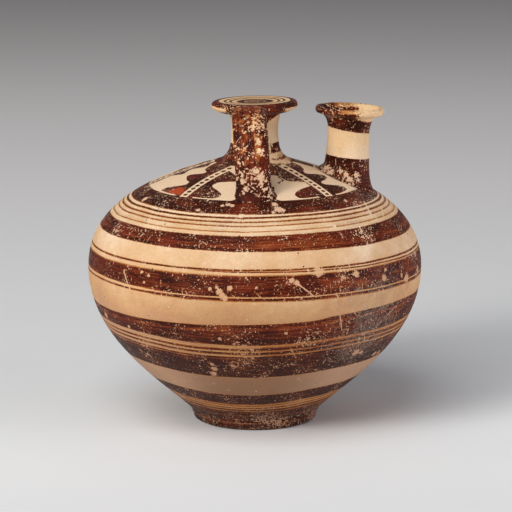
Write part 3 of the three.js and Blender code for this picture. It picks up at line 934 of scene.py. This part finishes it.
# Larger flaked spots on the body: (degrees from the front, height, half width)
BODY_SPOTS = [
    (-11.4, 77.6, 1.5), (-10.6, 76, 1.6), (-9.8, 74.9, 1.5), (-12.4, 79.8, 0.8), (-8, 79.4, 1.1),
    (-14.5, 78.8, 0.9), (-2.8, 84, 0.7), (0.5, 79.8, 0.7), (21.5, 86, 2.4), (35.5, 83, 1.6),
    (12, 82.6, 1.2), (14, 81.4, 1.2), (48, 78.8, 1.6), (58.3, 77.8, 1.1), (49, 82.4, 0.9),
    (62, 75.5, 2.2), (74, 76.6, 1.7), (-40.4, 83, 0.8), (-37.3, 82, 0.8), (-39, 78.5, 0.7),
    (-16.7, 41.2, 1.0), (-16.2, 38.6, 1.5), (-17.4, 35.6, 1.6), (42.5, 43.3, 1.8),
    (45.5, 42.6, 1.2), (58, 38.9, 1.5), (62, 38.4, 1.4), (-6, 108.7, 1.5), (-65, 110.6, 1.8),
    (-26.6, 110, 1.0), (11.2, 111, 2.0), (10, 112.8, 1.4), (13.4, 110.6, 1.0), (8.4, 110, 0.8),
    (-11, 112.3, 1.1), (-13.4, 112.6, 1.1), (-15.8, 112.2, 0.9), (50, 111.6, 1.1), (33, 103.4, 0.9),
    (-12, 55, 0.9), (-66, 56.5, 1.8), (-50, 55, 0.9), (10.7, 58, 0.8), (140, 82, 2.4),
    (165, 98, 1.6), (205, 79, 2.0), (232, 41, 2.2), (120, 58, 1.9), (188, 60, 1.6),
]
# Larger flaked spots on the spout and the front strap: (x, y, height, half width)
SPOUT_SPOTS = [
    (34.2, -6, 121.5, 2.6), (35.6, -9, 120.2, 1.8), (43, -11.5, 120, 1.2), (40.5, -11, 121.6, 1.0),
    (45, -12.5, 118, 1.3), (48.6, -11, 119.6, 1.5), (49.6, -11.4, 117.6, 1.6),
    (53, -12, 113.6, 1.4), (36.5, -7.5, 140.4, 1.3), (39.5, -9.6, 139.6, 0.8),
]
STRAP_SPOTS = [
    (0.6, -49, 127.4, 1.4), (2.6, -49, 124.6, 1.6), (3.2, -49, 121.8, 1.0), (-7.4, -48, 131, 1.0),
    (1.6, -46, 140.6, 1.5), (2.8, -48, 136.4, 1.7), (3.4, -46, 143, 1.2), (-5.2, -49, 122.6, 1.1),
    (-4.2, -49, 119.6, 1.0), (-4.8, -49, 117.4, 0.9), (5.8, -49, 119.2, 0.9),
    (1.6, -49, 116.4, 1.1), (-6, -48, 126.4, 0.9), (-4.6, -44, 144.6, 0.9),
]


def flaked_spots(hand, spots, bite):
    """1 inside the larger flaked spots, 0 elsewhere. Bite is how ragged their edges are."""
    away = []
    for *centre, half in spots:
        middle = on_body(*centre) if len(centre) == 2 else centre
        away.append(distance(hand.place, middle) / half)
    ragged = unsteady(hand, smaller(*away), 0, 1.8 * bite)
    rim = 0.8 * bite + 0.9
    return soft_step(hand.speck * (1.6 * bite) + ragged, rim + 0.18, rim)


# Single scratches on the body: (degrees from the front, height) at both ends, half width
SCRATCHES = [
    ((13.5, 81.6), (19.1, 75.4), 0.22), ((-49, 81.8), (-45.3, 74), 0.3),
    ((-45.3, 74), (-43.2, 68.4), 0.16), ((0, 78), (2.3, 75), 0.14),
    ((-7.4, 76.4), (-4.6, 74.2), 0.12), ((27.2, 75.2), (30, 69.4), 0.3),
    ((26, 73), (30.5, 71), 0.2), ((34.2, 100.4), (33.2, 86), 0.22),
    ((-4.4, 96.2), (-3.2, 91), 0.12), ((12.5, 51), (15.4, 44.6), 0.14), ((29, 66), (31, 57), 0.22),
    ((55.5, 63.5), (47, 55.6), 0.16), ((62, 110), (56, 104.6), 0.4),
    ((71, 106.5), (64, 103.4), 0.35), ((150, 84), (158, 62), 0.25),
]


def scratched(hand):
    """1 along the single scratches, 0 elsewhere."""
    off = []
    for start, end, half in SCRATCHES:
        first, last = Vector(on_body(*start)), Vector(on_body(*end))
        way = last - first
        from_first = vectors("SUBTRACT", hand.place, first)
        share = clamped(vectors("DOT_PRODUCT", from_first, way / way.length_squared))
        off.append(distance(from_first, scaled(way, share)) - half)
    return soft_step(unsteady(hand, smaller(*off), 0, 0.9), 0.2, 0)


def worn_away(hand, flaking, spots):
    """Where the slip is gone: specks, hair scratches and the larger spots."""
    lost = []
    # Specks of 0.5 to 1 mm and chips of 1 to 2 mm, both crowded in patches 12 mm wide
    for flakes, crowding, limit in ((hand.speck, 0.5, 0.92), (hand.chip, 0.8, 1.15)):
        weak = hand.crowd * crowding + flakes + hand.wear
        lost.append(soft_step(weak, limit - flaking, limit + 0.02 - flaking))
    # Hair lines 10 to 20 mm long, in two directions
    for turn, shift in (((0.1, 0.12, 0.4), 0), ((0.2, -0.6, 2.1), 40)):
        scored = add("Mapping", {"Vector": hand.place, "Location": (shift, 0, 0), "Rotation": turn})
        hair = noise(vectors("MULTIPLY", scored, (1.7, 1.7, 0.13)), 1, 1)
        lost.append(soft_step(hair, 0.72, 0.76))
    if spots:
        lost.append(flaked_spots(hand, spots, 1 if spots is BODY_SPOTS else 1.7))
    return larger(*lost)


def clay_ground(hand, grit):
    """Pale buff clay on the shoulder, golden at the belly and greyer brown near the foot, partly as
    painted shade there, mottled by the fire in patches 30 mm wide, with fine grit. Painted shade
    also darkens the front, most towards the foot."""
    mottle = noise(hand.place, 0.045, 5, 0.68)
    clay = laid(mottle * 0.5 + hand.z / 150 - 0.25, CLAY_TONES_WITH_SHADE)
    # Painted shade: the front of the body is darkened, most towards the foot.
    front_shade = soft_step(abs(hand.azimuth + 3), 44, 10) * soft_step(hand.z, 95, 35)
    clay = vectors("MULTIPLY", clay, mixed(front_shade, "#FFFFFF", "#D3C8BF"))
    tone = {"Value": grit, "From Min": 0.3, "From Max": 0.7, "To Min": 0.88, "To Max": 1.1}
    return scaled(clay, add("MapRange", tone))


def lime_film_and_sheen(hand, colour):
    """A greyish skin left by the soil: a thin haze and pale crumbs, thickest on the right and by the
    foot. The haze is partly painted sheen that lightens the lower right side."""
    beside = distance(hand.place, on_body(44, 58))
    beside = soft_step(unsteady(hand, beside, 30, 8), 36, 8)
    haze_and_sheen = beside * 0.26 + noise(hand.place, 0.35, 5, 0.75) + soft_step(hand.z, 24, 4) * 0.14
    # The greyish haze is partly painted sheen on the lower right.
    colour = mixed(soft_step(haze_and_sheen, 0.6, 0.85) * 0.34, colour, "#9C8878")
    crumbs = beside * 0.1 + noise(hand.place, 1.1, 4, 0.7)
    return mixed(soft_step(crumbs, 0.67, 0.73) * 0.75, colour, "#D0BBA8")


def fired_ware(name, paint, grain, flaking, spots):
    """Buff clay and iron slip, both fired: a dry, faintly burnished clay that shows warm mottling
    and fine wheel lines, and a thin slip, orange where it lies thin and near black where thick,
    with a low sheen, brush streaks, and flaked specks that show the clay."""
    material = bpy.data.materials.new(name)
    place = scaled(add("TexCoord", out="Object", tree=blank_tree(material)), 1 / MM)
    hand = brush(place, grain)
    coat, run = paint(hand)

    # The brush laid the slip in streaks 0.4 and 2 mm wide, and in patches 15 mm wide.
    streaks = strokes(hand, run, 2.4, 0.12) * 2.3 + strokes(hand, run, 0.5, 0.03) * 0.8
    load = streaks + noise(place, 0.07, 3) * 1.1 + hand.speck * 0.8 - 1.5
    flake = worn_away(hand, flaking, spots)
    if paint is body_paint:
        flake = larger(flake, scratched(hand))
    slip = clamped(load * coat) * (1 - flake)
    shown = soft_step(slip, 0.01, 0.16)

    # Flaked clay is a little darker and pinker than clay that was never painted.
    grit = noise(place, 1.6, 3, 0.7)
    bared = flake * soft_step(coat, 0.3, 0.6) * 0.5
    clay = mixed(bared, clay_ground(hand, grit), "#CC997A")
    slip_colour = laid(slip, SLIP_TONES)
    # Above the foot it fired redder in patches 15 mm wide, where the kiln's air was clearer.
    redder = soft_step(noise(place, 0.075, 2, w=3), 0.46, 0.7) * soft_step(hand.z, 42, 66)
    slip_colour = mixed(redder * 0.45, slip_colour, "#7C2E1B")
    # Low on the body the slip is made browner and nearly black, more towards the foot.
    browner = soft_step(hand.z, 72, 40) * soft_step(slip, 0.15, 0.6)
    slip_colour = mixed(browner * 0.6, slip_colour, "#38201A")
    colour = mixed(shown, clay, slip_colour)
    if paint is body_paint:
        # One leaf left of the front stem lies in a thin coat that fired orange red.
        leaf = unsteady(hand, distance(place, (-37.4, -31, 115)), 3, 5)
        leaf = soft_step(leaf, 5.6, 3.6) * soft_step(hand.radius, LEAVES_END, 49) * shown
        colour = lime_film_and_sheen(hand, mixed(leaf * 0.78, colour, "#C4502C"))
    # Pits: pinholes about 0.6 mm wide, darkened as painted shade, with a paler rim as a painted
    # highlight where the clay is bare
    pit = unsteady(hand, add("TexVoronoi", {"Vector": place, "Scale": 0.15}), 0, 0.07)
    rim = (1 - shown) * soft_step(pit, 0.13, 0.08)
    colour = mixed(rim * 0.35, colour, "#F2D9BC")
    # Painted shade inside each pinhole
    pore = soft_step(pit, 0.075, 0.045)
    colour = mixed(pore, colour, "#5A3C2A")

    dull = add("MapRange", {"Value": shown, "To Min": 0.7, "To Max": 0.55})
    wheel_lines = strokes(hand, run, 0.45, 0.004)
    relief = wheel_lines + slip * 0.3 + grit * 0.3 - pore * 0.8 - flake * 0.4
    bump = add("Bump", {"Height": relief, "Strength": 0.8, "Distance": 0.25 * MM})
    gloss = {"IOR": 1.5, "Specular IOR Level": 0.1, "Sheen Weight": 0.02, "Sheen Roughness": 0.35}
    face = {"Base Color": colour, "Roughness": dull, "Normal": bump}
    add("OutputMaterial", {"Surface": add("BsdfPrincipled", {**face, **gloss})})
    return material


body_nodes = ["foot_ring", "lower_body", "shoulder"]
spout_nodes = ["spout", "spout_coil"]
front_nodes = ["handle_front", "handle_front_coil"]
back_nodes = ["handle_back", "handle_back_coil"]
# Each piece with its material's name, paint, flaked specks to a millimetre, share that is flaked,
# larger spots, and the solids that it stands for
finishes = [
    (body, "fired_clay_with_banded_slip", body_paint, 1.1, 0.04, BODY_SPOTS, body_nodes),
    (neck, "fired_clay_neck_with_slip", neck_paint, 1.0, 0.03, None, ["false_neck", "neck_coil"]),
    (disc, "fired_clay_disc_with_slip_rings", disc_paint, 1.1, 0.03, None, ["top_disc"]),
    (spout, "fired_clay_spout_with_slip", spout_paint, 1.0, 0.05, SPOUT_SPOTS, spout_nodes),
    (front_strap, "fired_clay_strap_with_worn_slip", strap_paint, 0.85, 0.07, STRAP_SPOTS, front_nodes),
    (back_strap, "fired_clay_back_strap", strap_paint, 0.85, 0.06, None, back_nodes),
]
for piece, name, paint, grain, flaking, spots, nodes in finishes:
    piece.data.materials.clear()
    piece.data.materials.append(fired_ware(name, paint, grain, flaking, spots))
    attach(piece, "root")
    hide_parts(*nodes)


# Graduated studio paper with painted light falloff, paler in front and darker far behind, as
# (metres behind the jar's axis, tone)
PAPER_WITH_PAINTED_FALLOFF = [
    (-0.15, "#F5F6F8"), (-0.09, "#FAFCFD"), (-0.03, "#F8FBFD"), (0.1, "#EBEDEF"), (0.29, "#EDEEEF"),
    (0.7, "#EEECED"), (1.15, "#EAE7E7"), (1.9, "#D6D3D2"), (2.6, "#C8C5C4"),
]

start_afresh()
bpy.ops.mesh.primitive_circle_add(vertices=96, radius=9, fill_type="NGON", location=(0, 0, 0))
floor = bpy.context.object
floor.name = "studio_floor"
paper = bpy.data.materials.new("matt_studio_paper_with_painted_falloff")
spot = add("TexCoord", out="Object", tree=blank_tree(paper))
# The floor's tone carries painted light falloff, darker the farther it lies behind the jar.
tone = laid(add("SeparateXYZ", [spot], out="Y"), PAPER_WITH_PAINTED_FALLOFF)
matt = add("BsdfPrincipled", {"Base Color": tone, "Roughness": 0.95})
add("OutputMaterial", {"Surface": matt})
floor.data.materials.append(paper)

# The room is dim behind the camera and light behind the jar.
world = bpy.data.worlds.new("studio_air")
bpy.context.scene.world = world
looking = add("TexCoord", out="Generated", tree=blank_tree(world))
ahead = add("SeparateXYZ", [looking], out="Y")
glow = add("MapRange", {"Value": ahead, "From Min": -1, "To Min": 0.09, "To Max": 0.42})
air = add("Background", {"Color": linear("#D6D6D8"), "Strength": glow})
add("OutputWorld", {"Surface": air})

JAR_MIDDLE = Vector((0, 0, 0.08))


def softbox(name, place, width, watts, colour):
    """A large soft lamp that faces the jar."""
    lamp = bpy.data.lights.new(name, "AREA")
    lamp.size = width
    lamp.energy = watts
    lamp.color = linear(colour)[:3]
    box = bpy.data.objects.new(name, lamp)
    bpy.context.scene.collection.objects.link(box)
    box.location = place
    box.rotation_euler = (JAR_MIDDLE - Vector(place)).to_track_quat("-Z", "Y").to_euler()


softbox("key_softbox", (-1.9, -1.9, 1.3), 1.1, 47, "#FFFCF6")
softbox("top_softbox", (-0.8, -1.6, 2.3), 2.0, 38, "#FFFFFF")
softbox("low_right_softbox", (2.2, -0.4, 0.2), 1.1, 31, "#F8F6FF")

# The camera looks 11 degrees down on the jar from 1.056 m away, with a long lens.
CAMERA_DISTANCE = 1.0562
camera_data = bpy.data.cameras.new("camera")
camera_data.sensor_width = 36
camera_data.lens = 154.69
camera_data.clip_end = 50
camera = bpy.data.objects.new("camera", camera_data)
bpy.context.scene.collection.objects.link(camera)
aim = Vector((0.6, 0, 78.6)) * MM
rise = math.radians(11.09)
camera.location = aim + Vector((0, -math.cos(rise), math.sin(rise))) * CAMERA_DISTANCE
camera.rotation_euler = (aim - camera.location).to_track_quat("-Z", "Y").to_euler()
bpy.context.scene.camera = camera
bpy.context.scene.view_settings.view_transform = "Standard"

bpy.context.view_layer.update()
